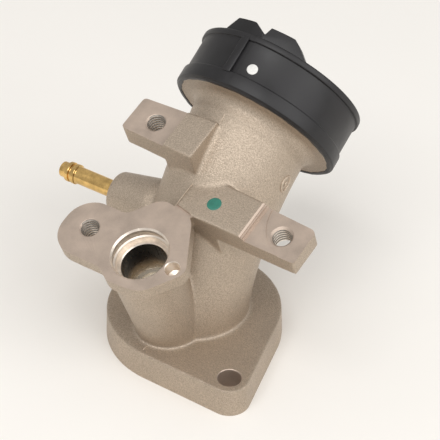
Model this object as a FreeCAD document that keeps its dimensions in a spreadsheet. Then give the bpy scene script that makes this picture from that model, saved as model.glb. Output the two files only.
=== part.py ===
import FreeCAD, Part
import math
import os
import Sketcher
from FreeCAD import Placement, Rotation, Vector

# Intake pipe for a small single-cylinder engine, in millimetres.
# The origin is the centre of the inlet port on the base face, +Z is the base face's inward normal,
# and the tube bends in the YZ plane towards +Y.
# Two more directions rule the part. The die axis leans back from +Z towards -Y by die_tilt: the
# injector boss, the injector flange and both lugs are square to it. The joint axis leaves the base
# by bend_angle from +Z towards +Y: the round flange and the rubber joint are turned about it.

os.makedirs("parts", exist_ok=True)
doc = FreeCAD.newDocument("intake_pipe")
sheet = doc.addObject("Spreadsheet::Sheet", "Sizes")

SIZES = (
    ("base_thick", 9.1, "thickness of the base flange"),
    ("base_mid_rad", 26.5, "outer radius of the base flange about the port"),
    ("base_ear_rad", 6.1, "outer radius of each bolt ear"),
    ("base_draft", 2.5, "draft of the base flange's side, degrees"),
    ("bolt_reach", 33.0, "port centre to bolt hole"),
    ("bolt_turn", -35.1, "turn of the bolt line from +X, degrees"),
    ("bolt_hole_rad", 3.4, "bolt hole radius"),
    ("tube_rise", 3.6, "straight stretch under the bend"),
    ("bend_rad", 65.0, "radius of the tube's centre line"),
    ("bend_angle", 56.6, "turn of the tube, degrees"),
    ("tube_base_rad", 15.6, "outer radius of the tube at the base"),
    ("tube_top_rad", 18.2, "outer radius at the round flange"),
    ("tube_swell", 0.4, "how much wider than their mean the tube is halfway round the bend"),
    ("tube_wall", 2.9, "tube wall"),
    ("disc_rad", 25.0, "radius of the round flange"),
    ("disc_low", 0.65, "back face of the round flange, below the end of the bend"),
    ("disc_high", 3.4, "front face of the round flange, above the end of the bend"),
    ("neck_flare", 3.4, "fillet between the tube and the round flange"),
    ("die_tilt", 20.3, "lean of the die axis, degrees"),
    ("injector_y", -24.4, "injector bore mouth, Y"),
    ("injector_z", 44.6, "injector bore mouth, Z"),
    ("injector_len", 42.6, "length of the injector boss, into the base flange"),
    ("injector_top_rad", 10.2, "outer radius of the injector boss under its flange"),
    ("injector_foot_rad", 9.7, "outer radius of the injector boss at the base"),
    ("injector_pad_thick", 4.6, "thickness of the injector flange"),
    ("injector_mouth_rad", 8.0, "injector bore, upper step"),
    ("injector_mouth_len", 5.0, "depth of the upper step"),
    ("injector_mouth_chamfer", 0.5, "chamfer of the bore mouth"),
    ("injector_bore_rad", 6.7, "injector bore, lower step"),
    ("injector_bore_len", 19.0, "depth of the lower step"),
    ("injector_seat_rad", 3.6, "hole under the injector's tip"),
    ("injector_seat_cone", 1.8, "height of the cone above the tip hole"),
    ("injector_tip_len", 40.0, "depth at which the tip hole ends in the port"),
    ("screw_x", -18.2, "injector flange screw hole, across"),
    ("screw_up", 0.3, "injector flange screw hole, up from the bore"),
    ("screw_boss_rad", 5.8, "radius of the boss under the screw hole"),
    ("screw_boss_len", 9.0, "length of the thread in that boss"),
    ("screw_ear_rad", 8.1, "rounding of the flange's screw ear"),
    ("ear_left", -26.7, "end of the screw ear"),
    ("ear_low", -9.6, "lower side of the screw ear"),
    ("ear_high", 8.7, "upper side of the screw ear"),
    ("shoulder_x", -7.2, "where the ear's lower side meets the bore's rim, across"),
    ("shoulder_low", -8.8, "where the ear's lower side meets the bore's rim, up"),
    ("shoulder_rad", 4.0, "inside radius of that shoulder"),
    ("rim_left", -3.4, "left corner under the bore, across"),
    ("rim_left_low", -11.6, "left corner under the bore, up"),
    ("rim_left_rad", 5.6, "rounding of that corner"),
    ("rim_right", 7.5, "right corner under the bore, across"),
    ("rim_right_low", -10.4, "right corner under the bore, up"),
    ("rim_right_rad", 8.0, "rounding of that corner"),
    ("dowel_corner_x", 15.5, "flange corner beside the locating hole, across"),
    ("dowel_corner_up", 0.5, "flange corner beside the locating hole, up"),
    ("dowel_corner_rad", 4.0, "rounding of that corner"),
    ("crown_right", 6.5, "right corner of the flange's crown, across"),
    ("crown_right_up", 16.1, "right corner of the flange's crown, up"),
    ("crown_left", -4.8, "left corner of the flange's crown, across"),
    ("crown_left_up", 18.1, "left corner of the flange's crown, up"),
    ("crown_rad", 5.0, "rounding of the crown's corners"),
    ("valley_x", -11.6, "inside corner between the screw ear and the crown, across"),
    ("valley_up", 9.0, "inside corner between the screw ear and the crown, up"),
    ("valley_rad", 3.3, "radius of that inside corner"),
    ("dowel_x", 11.1, "locating hole in the injector flange, across"),
    ("dowel_up", 0.24, "locating hole in the injector flange, up from the bore"),
    ("dowel_rad", 2.1, "locating hole radius"),
    ("dowel_len", 4.0, "depth of the locating hole"),
    ("dowel_cone", 1.2, "height of its drill point"),
    ("tap_rad", 2.65, "core of the M6 threads"),
    ("tap_sink_rad", 3.3, "countersink of the M6 threads"),
    ("high_face_height", 59.8, "height of the upper lug's face along the die axis"),
    ("high_skin_thick", 0.7, "cast block's height over the upper lug's face"),
    ("high_thick", 7.0, "thickness of the upper lug"),
    ("high_end_x", -25.2, "end of the upper lug"),
    ("high_near_end", 21.2, "near edge of the upper lug at its end"),
    ("high_far_end", 32.7, "far edge of the upper lug at its end"),
    ("high_near_root", 20.6, "near edge of the upper lug at the mould's parting plane"),
    ("high_far_root", 34.3, "far edge of the upper lug at the mould's parting plane"),
    ("high_block_x", -11.2, "side of the cast block"),
    ("high_step_x", -9.8, "where the machined face ends"),
    ("high_hole_x", -16.7, "upper lug's screw hole, across"),
    ("high_hole_up", 26.7, "upper lug's screw hole, up"),
    ("high_block_depth", 20.0, "depth of the cast block into the tube"),
    ("low_face_height", 49.5, "height of the lower lug's face along the die axis"),
    ("low_skin_thick", 1.5, "cast pad's height over the lower lug's face"),
    ("low_thick", 5.8, "thickness of the lower lug"),
    ("low_end_x", 39.3, "end of the lower lug"),
    ("low_near_end", 9.8, "near edge of the lower lug at its end"),
    ("low_far_end", 21.5, "far edge of the lower lug at its end"),
    ("low_near_root", 9.1, "near edge of the pad at the parting plane"),
    ("low_far_root", 22.9, "far edge of the pad at the parting plane"),
    ("low_step_x", 22.2, "where the cast pad drops to the machined face"),
    ("low_block_x", 13.0, "pad's root in the tube"),
    ("low_block_depth", 14.5, "depth of the pad's root"),
    ("low_hole_x", 31.7, "lower lug's screw hole, across"),
    ("low_hole_up", 15.8, "lower lug's screw hole, up"),
    ("low_sink_rad", 3.6, "countersink of the lower lug's screw hole"),
    ("low_cut_x", 38.5, "centre of the milling cutter's last pass, across"),
    ("low_cut_up", 23.0, "centre of the milling cutter's last pass, up"),
    ("low_cut_rad", 14.0, "radius of the milling cutter's last pass"),
    ("low_cut_deep", 0.25, "step that this pass leaves in the lower lug's face"),
    ("lug_corner_rad", 1.0, "rounding of the lugs' outer corners"),
    ("nipple_x", -34.0, "face of the nipple boss, X"),
    ("nipple_y", 6.5, "face of the nipple boss, Y"),
    ("nipple_z", 32.0, "face of the nipple boss, Z"),
    ("nipple_turn", 3.0, "turn of the nipple from -X towards -Y, degrees"),
    ("nipple_boss_rad", 6.3, "nipple boss radius at its face"),
    ("nipple_root_rad", 8.9, "nipple boss radius at its root"),
    ("nipple_taper_len", 14.0, "length of the boss's taper"),
    ("nipple_root_len", 20.0, "length of the boss, into the tube's wall"),
    ("nipple_boss_edge", 0.6, "chamfer of the boss's edge"),
    ("nipple_seat_len", 9.0, "how deep the nipple is pressed in"),
    ("nipple_drill_len", 28.0, "depth of the drilling under the nipple"),
    ("nipple_stem_rad", 2.7, "outer radius of the nipple"),
    ("nipple_collar_rad", 3.3, "radius of the nipple's collar"),
    ("nipple_collar_len", 0.9, "thickness of the collar"),
    ("nipple_len", 20.8, "nipple outside the boss"),
    ("nipple_barb_rad", 3.15, "radius of the nipple's beads"),
    ("nipple_tip_rad", 2.5, "radius of the nipple's tip"),
    ("nipple_bore_rad", 1.5, "bore of the nipple"),
    ("barb_len", 1.5, "length of one bead"),
    ("barb_neck", 0.7, "neck between the beads"),
    ("barb_edge", 0.4, "chamfer of the beads and the tip"),
    ("barb_tip_len", 2.3, "tip before the first bead"),
    ("joint_skin_thick", 0.5, "rubber round the rim of the round flange, under the clamp band"),
    ("joint_lip_high", 0.65, "height of the joint's lower lip over the band's seat"),
    ("joint_rim_high", 0.75, "height of the joint's upper lip over the band's seat"),
    ("joint_lip_top", 3.9, "upper edge of the lower lip"),
    ("joint_band_top", 14.2, "upper edge of the band's seat"),
    ("joint_top", 16.1, "mouth of the joint"),
    ("joint_low", 0.35, "lower edge of the joint, below the end of the bend"),
    ("joint_edge", 0.4, "chamfer of the joint's outer edges"),
    ("joint_mouth_rad", 21.3, "bore for the throttle body's spigot"),
    ("joint_mouth_flare", 0.9, "chamfer of that bore"),
    ("joint_stop_high", 5.4, "stop for the spigot, above the end of the bend"),
    ("joint_stop_back", 2.7, "stop's inner edge behind the wall of the port"),
    ("tab_inset", 0.3, "outer face of the index tabs, inside the band's seat"),
    ("tab_thick", 3.2, "thickness of the index tabs"),
    ("tab_root", 15.0, "where the tabs start inside the upper lip"),
    ("tab_top", 20.4, "top of the index tabs"),
    ("tab_notch", 17.9, "bottom of the notch between the tabs"),
    ("tab_left_foot", -12.1, "left end of the tabs at the mouth"),
    ("tab_left_top", -9.0, "left end of the left tab's top"),
    ("notch_left_top", -2.5, "right end of the left tab's top"),
    ("notch_mid", 1.85, "bottom of the notch, across"),
    ("notch_right_top", 2.8, "left end of the right tab's top"),
    ("tab_right_top", 10.0, "right end of the right tab's top"),
    ("tab_shoulder_x", 11.5, "shoulder of the right tab, across"),
    ("tab_shoulder_top", 19.4, "shoulder of the right tab, along the joint axis"),
    ("tab_right_foot", 15.0, "right end of the tabs at the mouth"),
    ("rib_left", -3.3, "rib across the band's seat, left side"),
    ("rib_right", 0.7, "rib across the band's seat, right side"),
    ("rib_thick", 1.0, "height of the rib over the band's seat"),
    ("rib_sink", 1.1, "foot of the rib under the band's seat"),
    ("rib_low", 4.0, "lower end of the rib"),
    ("rib_high", 14.1, "upper end of the rib"),
    ("ring_mid_rad", 17.2, "mean radius of the O-ring"),
    ("ring_wire_rad", 1.2, "radius of the O-ring's section"),
    ("groove_side_gap", 0.25, "side room of the O-ring in its groove"),
)

FORMULAS = (
    ("ear_x", "=bolt_reach * cos(bolt_turn)"),
    ("ear_y", "=bolt_reach * sin(bolt_turn)"),
    ("tube_mid_rad", "=(tube_base_rad + tube_top_rad) / 2 + tube_swell"),
    ("high_rough_height", "=high_face_height + high_skin_thick"),
    ("low_rough_height", "=low_face_height + low_skin_thick"),
    ("port_rad", "=tube_base_rad - tube_wall"),
    ("bore_mid_rad", "=tube_mid_rad - tube_wall"),
    ("bore_top_rad", "=tube_top_rad - tube_wall"),
    ("stop_bore_rad", "=bore_top_rad + joint_stop_back"),
    ("neck_reach", "=(tube_top_rad + disc_rad) / 2"),
    ("mouth_y", "=bend_rad * (1 - cos(bend_angle))"),
    ("mouth_z", "=tube_rise + bend_rad * sin(bend_angle)"),
    ("half_y", "=bend_rad * (1 - cos(bend_angle / 2))"),
    ("half_z", "=tube_rise + bend_rad * sin(bend_angle / 2)"),
    ("half_turn", "=bend_angle / 2"),
    ("injector_chamfer_rad", "=injector_mouth_rad + injector_mouth_chamfer"),
    ("injector_cone_end", "=injector_bore_len + injector_seat_cone"),
    ("screw_hole_y", "=injector_y + screw_up * cos(die_tilt)"),
    ("screw_hole_z", "=injector_z + screw_up * sin(die_tilt)"),
    ("dowel_hole_y", "=injector_y + dowel_up * cos(die_tilt)"),
    ("dowel_hole_z", "=injector_z + dowel_up * sin(die_tilt)"),
    ("dowel_tip", "=dowel_len + dowel_cone"),
    ("screw_sink_len", "=tap_sink_rad - tap_rad"),
    ("high_sink_len", "=tap_sink_rad - tap_rad"),
    ("low_sink_len", "=low_sink_rad - tap_rad"),
    ("high_hole_y", "=high_hole_up * cos(die_tilt) - high_face_height * sin(die_tilt)"),
    ("high_hole_z", "=high_hole_up * sin(die_tilt) + high_face_height * cos(die_tilt)"),
    ("low_hole_y", "=low_hole_up * cos(die_tilt) - low_face_height * sin(die_tilt)"),
    ("low_hole_z", "=low_hole_up * sin(die_tilt) + low_face_height * cos(die_tilt)"),
    ("high_near_block", "=high_near_root + (high_near_end - high_near_root) * high_block_x / high_end_x"),
    ("high_far_block", "=high_far_root + (high_far_end - high_far_root) * high_block_x / high_end_x"),
    ("high_near_step", "=high_near_root + (high_near_end - high_near_root) * high_step_x / high_end_x"),
    ("high_far_step", "=high_far_root + (high_far_end - high_far_root) * high_step_x / high_end_x"),
    ("low_near_block", "=low_near_root + (low_near_end - low_near_root) * low_block_x / low_end_x"),
    ("low_far_block", "=low_far_root + (low_far_end - low_far_root) * low_block_x / low_end_x"),
    ("low_near_step", "=low_near_root + (low_near_end - low_near_root) * low_step_x / low_end_x"),
    ("low_far_step", "=low_far_root + (low_far_end - low_far_root) * low_step_x / low_end_x"),
    ("mouth_chamfer_rad", "=joint_mouth_rad + joint_mouth_flare"),
    ("mouth_chamfer_low", "=joint_top - joint_mouth_flare"),
    ("joint_band_rad", "=disc_rad + joint_skin_thick"),
    ("joint_lip_rad", "=joint_band_rad + joint_lip_high"),
    ("joint_rim_rad", "=joint_band_rad + joint_rim_high"),
    ("rib_top_rad", "=joint_band_rad + rib_thick"),
    ("rib_root_rad", "=joint_band_rad - rib_sink"),
    ("tab_rad", "=joint_band_rad - tab_inset"),
    ("tab_inner_rad", "=tab_rad - tab_thick"),
    ("tab_clear", "=tab_rad + tab_thick"),
    ("barb_one_high", "=nipple_len - barb_tip_len"),
    ("barb_one_low", "=barb_one_high - barb_len"),
    ("barb_two_high", "=barb_one_low - barb_neck"),
    ("barb_two_low", "=barb_two_high - barb_len"),
    ("groove_inner_rad", "=ring_mid_rad - ring_wire_rad - groove_side_gap"),
    ("groove_outer_rad", "=ring_mid_rad + ring_wire_rad + groove_side_gap"),
    ("groove_deep", "=2 * ring_wire_rad"),
)

for row, (alias, value, note) in enumerate(SIZES, start=1):
    sheet.set(f"A{row}", note)
    sheet.set(f"B{row}", str(value))
    sheet.setAlias(f"B{row}", alias)
for row, (alias, formula) in enumerate(FORMULAS, start=len(SIZES) + 1):
    sheet.set(f"B{row}", formula)
    sheet.setAlias(f"B{row}", alias)
doc.recompute()


def size(name):
    """Number in a cell; a leading minus turns its sign."""
    sign = -1.0 if name.startswith("-") else 1.0
    return sign * float(sheet.get(name.lstrip("-")))


def cell(name):
    """Expression that reads a cell; a leading minus turns its sign."""
    return "-Sizes." + name[1:] if name.startswith("-") else "Sizes." + name


def new_body(label):
    body = doc.addObject("PartDesign::Body", label)
    body.Label = label
    return body


def new_sketch(body, name, role, turn="", place=("", "", ""), hinge=Vector(1, 0, 0)):
    """Sketch on one of the body's own planes, moved in that plane's axes and turned about one of them."""
    sketch = body.newObject("Sketcher::SketchObject", name)
    planes = [item for item in body.Origin.OriginFeatures if item.Role == role]
    sketch.AttachmentSupport = [(planes[0], "")]
    sketch.MapMode = "FlatFace"
    sketch.AttachmentOffset = Placement(Vector(), Rotation(hinge, 1.0 if turn else 0.0))
    if turn:
        sketch.setExpression("AttachmentOffset.Rotation.Angle", turn)
    for axis, expression in zip("xyz", place):
        if expression:
            sketch.setExpression("AttachmentOffset.Base." + axis, expression)
    return sketch


def die_sketch(body, name, height):
    """Sketch square to the die axis; its axes are X and the in-plane up direction."""
    place = ("", f"-sin(Sizes.die_tilt) * ({height})", f"cos(Sizes.die_tilt) * ({height})")
    return new_sketch(body, name, "XY_Plane", "Sizes.die_tilt", place)


def turned_sketch(body, name, turn, x, y, z):
    """Half section for a turned form: its V axis is the turning axis, its origin the given point."""
    return new_sketch(body, name, "XZ_Plane", turn, (x, z, f"-({y})"))


def number(value):
    return 0.0 if value == "0" else size(value)


class Rules:
    """Constraints of one sketch, added in one go, and the cells that drive them."""

    def __init__(self, sketch):
        self.sketch = sketch
        self.rules = []
        self.cells = []

    def add(self, *arguments):
        self.rules.append(Sketcher.Constraint(*arguments))

    def drive(self, name, *arguments):
        """Constraint whose value is a cell."""
        self.cells.append((len(self.rules), name))
        self.add(*arguments, number(name))

    def fix(self, geometry, position, x, y):
        """Tie a point's coordinates to two cells; "0" puts it on the axis."""
        for kind, value, axis in (("DistanceX", x, -2), ("DistanceY", y, -1)):
            if value == "0":
                self.add("PointOnObject", geometry, position, axis)
            else:
                self.drive(value, kind, -1, 1, geometry, position)

    def apply(self):
        first = self.sketch.ConstraintCount
        self.sketch.addConstraint(self.rules)
        for index, name in self.cells:
            self.sketch.setExpression(f"Constraints[{first + index}]", cell(name))


def add_circle(sketch, x, y, rad):
    centre = Vector(number(x), number(y), 0)
    index = sketch.addGeometry(Part.Circle(centre, Vector(0, 0, 1), size(rad)))
    rules = Rules(sketch)
    rules.fix(index, 3, x, y)
    rules.drive(rad, "Radius", index)
    rules.apply()


def corner_arc(before, here, after, rad):
    """Arc that rounds a corner, its ends on the two sides, and which of them it starts at."""
    back = (before - here).normalize()
    ahead = (after - here).normalize()
    half = back.getAngle(ahead) / 2
    inner = here + (back + ahead).normalize() * (rad / math.sin(half))
    first = here + back * (rad / math.tan(half))
    last = here + ahead * (rad / math.tan(half))
    turns_left = ahead.cross(back).z > 0
    ends = (first, last) if turns_left else (last, first)
    angles = [math.atan2(point.y - inner.y, point.x - inner.x) for point in ends]
    arc = Part.ArcOfCircle(Part.Circle(inner, Vector(0, 0, 1), rad), *angles)
    return arc, first, last, turns_left


def add_outline(sketch, corners):
    """Closed outline of straight sides; a corner is (x, y) or (x, y, rounding), all named cells."""
    points = [Vector(number(corner[0]), number(corner[1]), 0) for corner in corners]
    count = len(corners)
    ends = [(point, point) for point in points]
    arcs = {}
    tips = {}
    lefts = {}
    for k, corner in enumerate(corners):
        if len(corner) == 3:
            ahead = points[(k + 1) % count]
            arc, first, last, lefts[k] = corner_arc(points[k - 1], points[k], ahead, size(corner[2]))
            ends[k] = (first, last)
            arcs[k] = sketch.addGeometry(arc)
            tips[k] = sketch.addGeometry(Part.Point(points[k]), True)
    lines = [
        sketch.addGeometry(Part.LineSegment(ends[k][1], ends[(k + 1) % count][0])) for k in range(count)
    ]
    rules = Rules(sketch)
    for k, corner in enumerate(corners):
        before = lines[k - 1]
        after = lines[k]
        if k not in arcs:
            rules.add("Coincident", before, 2, after, 1)
            rules.fix(after, 1, corner[0], corner[1])
            continue
        rules.fix(tips[k], 1, corner[0], corner[1])
        first, last = (1, 2) if lefts[k] else (2, 1)
        rules.add("PointOnObject", tips[k], 1, before)
        rules.add("PointOnObject", tips[k], 1, after)
        rules.add("Tangent", before, 2, arcs[k], first)
        rules.add("Tangent", after, 1, arcs[k], last)
        rules.drive(corner[2], "Radius", arcs[k])
    rules.apply()


def extrude(body, kind, name, sketch, length, reverse=False):
    feature = body.newObject("PartDesign::" + kind, name)
    feature.Profile = sketch
    feature.setExpression("Length", length)
    feature.Reversed = reverse
    return feature


def turn(body, kind, name, sketch):
    """Full turn of a half section about its sketch's V axis."""
    feature = body.newObject("PartDesign::" + kind, name)
    feature.Profile = sketch
    feature.ReferenceAxis = (sketch, ["V_Axis"])
    feature.Angle = 360.0
    return feature


def pipe_feature(body, kind, name, start_rad, half_rad, end_rad, spine):
    """Round pipe round the bend, whose radius changes from the base to the joint."""
    profile = new_sketch(body, name + "Start", "XY_Plane", "", ("", "", "Sizes.tube_rise"))
    add_circle(profile, "0", "0", start_rad)
    half_place = ("", "Sizes.half_y", "Sizes.half_z")
    half = new_sketch(body, name + "Half", "XY_Plane", "-Sizes.half_turn", half_place)
    add_circle(half, "0", "0", half_rad)
    end_place = ("", "Sizes.mouth_y", "Sizes.mouth_z")
    end = new_sketch(body, name + "End", "XY_Plane", "-Sizes.bend_angle", end_place)
    add_circle(end, "0", "0", end_rad)
    doc.recompute()
    feature = body.newObject("PartDesign::" + kind, name)
    feature.Profile = profile
    feature.Spine = (spine, ["Edge1"])
    feature.Sections = [(half, [""]), (end, [""])]
    feature.Transformation = "Multisection"
    return feature


def bend_spine(body, name):
    """Centre line of the bend in the YZ plane: one arc that starts upright above the port."""
    spine = new_sketch(body, name, "YZ_Plane")
    centre = Vector(size("bend_rad"), size("tube_rise"), 0)
    circle = Part.Circle(centre, Vector(0, 0, 1), size("bend_rad"))
    start = math.pi - math.radians(size("bend_angle"))
    arc = spine.addGeometry(Part.ArcOfCircle(circle, start, math.pi))
    rules = Rules(spine)
    rules.fix(arc, 3, "bend_rad", "tube_rise")
    rules.fix(arc, 2, "0", "tube_rise")
    rules.drive("mouth_z", "DistanceY", -1, 1, arc, 1)
    rules.apply()
    return spine


def add_base_flange(body):
    """Two-ear base flange: arcs about the port and the bolt holes joined by tangent sides."""
    sketch = new_sketch(body, "BaseOutline", "XY_Plane")
    line_turn = math.radians(size("bolt_turn"))
    reach = size("bolt_reach")
    mid = size("base_mid_rad")
    ear = size("base_ear_rad")
    lean = math.acos((mid - ear) / reach)
    up = Vector(0, 0, 1)
    arcs = []
    for side in (0, 1):
        heading = line_turn + side * math.pi
        centre = Vector(reach * math.cos(heading), reach * math.sin(heading), 0)
        ear_circle = Part.Circle(centre, up, ear)
        arcs.append(sketch.addGeometry(Part.ArcOfCircle(ear_circle, heading - lean, heading + lean)))
        mid_circle = Part.Circle(Vector(), up, mid)
        mid_end = heading + math.pi - lean
        arcs.append(sketch.addGeometry(Part.ArcOfCircle(mid_circle, heading + lean, mid_end)))
    sides = []
    for k, arc in enumerate(arcs):
        first = sketch.Geometry[arc].EndPoint
        last = sketch.Geometry[arcs[(k + 1) % 4]].StartPoint
        sides.append(sketch.addGeometry(Part.LineSegment(first, last)))
    rules = Rules(sketch)
    for k, arc in enumerate(arcs):
        rules.add("Tangent", arc, 2, sides[k], 1)
        rules.add("Tangent", sides[k], 2, arcs[(k + 1) % 4], 1)
    for arc, x, y, rad in zip(
        arcs,
        ("ear_x", "0", "-ear_x", "0"),
        ("ear_y", "0", "-ear_y", "0"),
        ("base_ear_rad", "base_mid_rad", "base_ear_rad", "base_mid_rad"),
    ):
        rules.fix(arc, 3, x, y)
        rules.drive(rad, "Radius", arc)
    rules.apply()
    pad = extrude(body, "Pad", "BaseFlange", sketch, "Sizes.base_thick")
    pad.setExpression("TaperAngle", "-Sizes.base_draft")


def dress(body, kind, name, edges, amount):
    """Fillet or chamfer on edges of the body's last feature."""
    base = body.Tip
    feature = body.newObject("PartDesign::" + kind, name)
    feature.Base = (base, edges)
    feature.setExpression("Radius" if kind == "Fillet" else "Size", "Sizes." + amount)


def joint_axis():
    """End of the bend and the direction of the joint axis."""
    turn = math.radians(size("bend_angle"))
    return Vector(0, size("mouth_y"), size("mouth_z")), Vector(0, math.sin(turn), math.cos(turn))


def nipple_axis():
    """Centre of the nipple boss's face and the nipple's direction."""
    turn = math.radians(size("nipple_turn"))
    face = Vector(size("nipple_x"), size("nipple_y"), size("nipple_z"))
    return face, Vector(-math.cos(turn), -math.sin(turn), 0)


def ring_edges(body, axis, rings):
    """Names of the body's edges round an axis; a ring is its least radius, greatest radius and height."""
    near = 0.01
    doc.recompute()
    foot, along = axis
    names = []
    for least, greatest, height in rings:
        centre = foot + along * number(height)
        for index, edge in enumerate(body.Tip.Shape.Edges, start=1):
            arms = [point - centre for point in edge.discretize(9)]
            lengths = sorted(arm.Length for arm in arms)
            level = max(abs(arm * along) for arm in arms) < near
            if level and size(least) - near < lengths[0] and lengths[-1] < size(greatest) + near:
                names.append(f"Edge{index}")
    if len(names) < len(rings):
        raise RuntimeError(f"{body.Label} lacks an edge for its next fillet or chamfer")
    return names


def slab(body, name, height, corners, depth):
    """Plate square to the die axis: its outline at a height, thickened downwards."""
    outline = die_sketch(body, name + "Outline", "Sizes." + height)
    add_outline(outline, corners)
    return extrude(body, "Pad", name, outline, depth, True)


def bore_sketch(body, name):
    """Sketch in the plane of the injector flange's face, its origin in the bore."""
    return new_sketch(body, name, "XY_Plane", "Sizes.die_tilt", ("", "Sizes.injector_y", "Sizes.injector_z"))


def nipple_sketch(body, name):
    """Half section about the nipple's axis, its origin in the boss's face."""
    place = ("Sizes.nipple_x", "Sizes.nipple_y", "Sizes.nipple_z")
    return new_sketch(body, name, "XY_Plane", "90 + Sizes.nipple_turn", place, Vector(0, 0, 1))


def joint_sketch(body, name, lift="0"):
    """Sketch through the joint axis, or above it by lift, its V axis along that axis."""
    y = f"Sizes.mouth_y - ({lift}) * cos(Sizes.bend_angle)"
    z = f"Sizes.mouth_z + ({lift}) * sin(Sizes.bend_angle)"
    return turned_sketch(body, name, "-Sizes.bend_angle", "", y, z)


def add_tube(body):
    """Curved tube, the fillet round its neck and the round flange at its end."""
    spine = bend_spine(body, "TubeLine")
    pipe_feature(body, "AdditivePipe", "Tube", "tube_base_rad", "tube_mid_rad", "tube_top_rad", spine)
    disc = joint_sketch(body, "DiscSection")
    add_outline(disc, (
        ("0", "disc_high"),
        ("disc_rad", "disc_high"),
        ("disc_rad", "-disc_low"),
        ("0", "-disc_low"),
    ))
    turn(body, "Revolution", "RoundFlange", disc)
    foot = ring_edges(body, joint_axis(), (("bore_top_rad", "neck_reach", "-disc_low"),))
    dress(body, "Fillet", "NeckFlare", foot, "neck_flare")


def add_injector_boss(body):
    """Turned boss along the die axis with its screw flange on top."""
    boss = turned_sketch(
        body, "InjectorBossSection", "Sizes.die_tilt", "", "Sizes.injector_y", "Sizes.injector_z"
    )
    add_outline(boss, (
        ("0", "0"),
        ("injector_top_rad", "0"),
        ("injector_foot_rad", "-injector_len"),
        ("0", "-injector_len"),
    ))
    turn(body, "Revolution", "InjectorBoss", boss)
    outline = bore_sketch(body, "InjectorFlangeOutline")
    add_outline(outline, (
        ("ear_left", "ear_low", "screw_ear_rad"),
        ("shoulder_x", "shoulder_low", "shoulder_rad"),
        ("rim_left", "rim_left_low", "rim_left_rad"),
        ("rim_right", "rim_right_low", "rim_right_rad"),
        ("dowel_corner_x", "dowel_corner_up", "dowel_corner_rad"),
        ("crown_right", "crown_right_up", "crown_rad"),
        ("crown_left", "crown_left_up", "crown_rad"),
        ("valley_x", "valley_up", "valley_rad"),
        ("ear_left", "ear_high", "screw_ear_rad"),
    ))
    extrude(body, "Pad", "InjectorFlange", outline, "Sizes.injector_pad_thick", True)
    boss = bore_sketch(body, "ScrewBossOutline")
    add_circle(boss, "screw_x", "screw_up", "screw_boss_rad")
    extrude(body, "Pad", "ScrewBoss", boss, "Sizes.screw_boss_len", True)


def add_lugs(body):
    """Two tapped lugs whose cast blocks end on the mould's parting plane."""
    slab(body, "UpperLug", "high_face_height", (
        ("high_end_x", "high_near_end", "lug_corner_rad"),
        ("0", "high_near_root"),
        ("0", "high_far_root"),
        ("high_end_x", "high_far_end", "lug_corner_rad"),
    ), "Sizes.high_thick")
    slab(body, "UpperBlock", "high_face_height", (
        ("high_block_x", "high_near_block"),
        ("0", "high_near_root"),
        ("0", "high_far_root"),
        ("high_block_x", "high_far_block"),
    ), "Sizes.high_block_depth")
    slab(body, "UpperSkin", "high_rough_height", (
        ("high_step_x", "high_near_step"),
        ("0", "high_near_root"),
        ("0", "high_far_root"),
        ("high_step_x", "high_far_step"),
    ), "Sizes.high_skin_thick")
    slab(body, "LowerLug", "low_face_height", (
        ("0", "low_near_root"),
        ("low_end_x", "low_near_end", "lug_corner_rad"),
        ("low_end_x", "low_far_end", "lug_corner_rad"),
        ("0", "low_far_root"),
    ), "Sizes.low_thick")
    slab(body, "LowerBlock", "low_face_height", (
        ("0", "low_near_root"),
        ("low_block_x", "low_near_block"),
        ("low_block_x", "low_far_block"),
        ("0", "low_far_root"),
    ), "Sizes.low_block_depth")
    slab(body, "LowerSkin", "low_rough_height", (
        ("0", "low_near_root"),
        ("low_step_x", "low_near_step"),
        ("low_step_x", "low_far_step"),
        ("0", "low_far_root"),
    ), "Sizes.low_skin_thick")


def add_nipple_boss(body):
    boss = nipple_sketch(body, "NippleBossSection")
    add_outline(boss, (
        ("0", "0"),
        ("nipple_boss_rad", "0"),
        ("nipple_root_rad", "-nipple_taper_len"),
        ("nipple_root_rad", "-nipple_root_len"),
        ("0", "-nipple_root_len"),
    ))
    turn(body, "Revolution", "NippleBoss", boss)
    rim = ring_edges(body, nipple_axis(), (("nipple_boss_rad", "nipple_boss_rad", "0"),))
    dress(body, "Chamfer", "NippleBossEdge", rim, "nipple_boss_edge")


def drill(body, name, x, y, z, sections):
    """Stepped round hole along the die axis, from a mouth at (x, y, z)."""
    place = tuple("Sizes." + item if item else "" for item in (x, y, z))
    hole = turned_sketch(body, name + "Section", "Sizes.die_tilt", *place)
    add_outline(hole, (("0", "0"),) + sections)
    return turn(body, "Groove", name, hole)


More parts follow.
